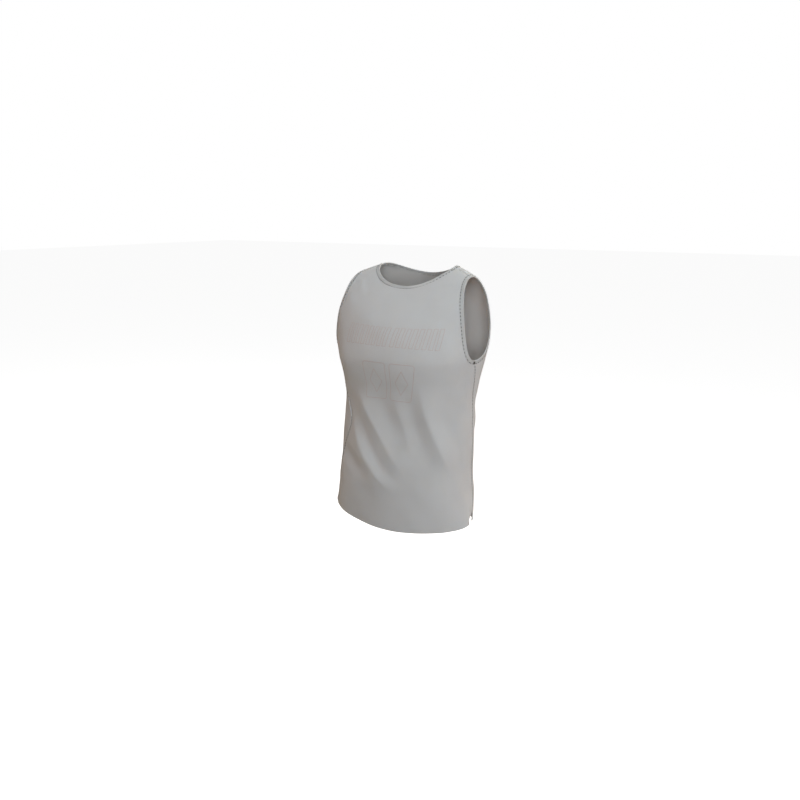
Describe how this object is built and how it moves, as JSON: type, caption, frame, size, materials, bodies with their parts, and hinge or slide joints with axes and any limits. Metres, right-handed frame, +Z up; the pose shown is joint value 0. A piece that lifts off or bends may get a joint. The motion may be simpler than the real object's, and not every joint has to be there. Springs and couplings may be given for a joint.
{
  "type": "basketball jersey",
  "caption": "Sleeveless knit jersey in the hollow form of a worn garment, with bound neckline and armholes and short vents at the hem.",
  "frame": {"origin": "between the two neck points of the shoulder seams, where the wearer's shoulders hold the jersey up", "axes": "+Z up along the body, +X to the wearer's left, -Y to the front"},
  "size_m": [0.4538, 0.2607, 0.7133],
  "materials": {
    "body_knit": "light grey polyester knit, matt with a soft sheen",
    "binding_knit": "light grey knit folded over the edge and stitched down"
  },
  "bodies": {
    "root": {"front": "body_knit", "back": "body_knit", "neck_binding": "binding_knit", "armhole_binding_left": "binding_knit", "armhole_binding_right": "binding_knit"}
  },
  "joints": []
}
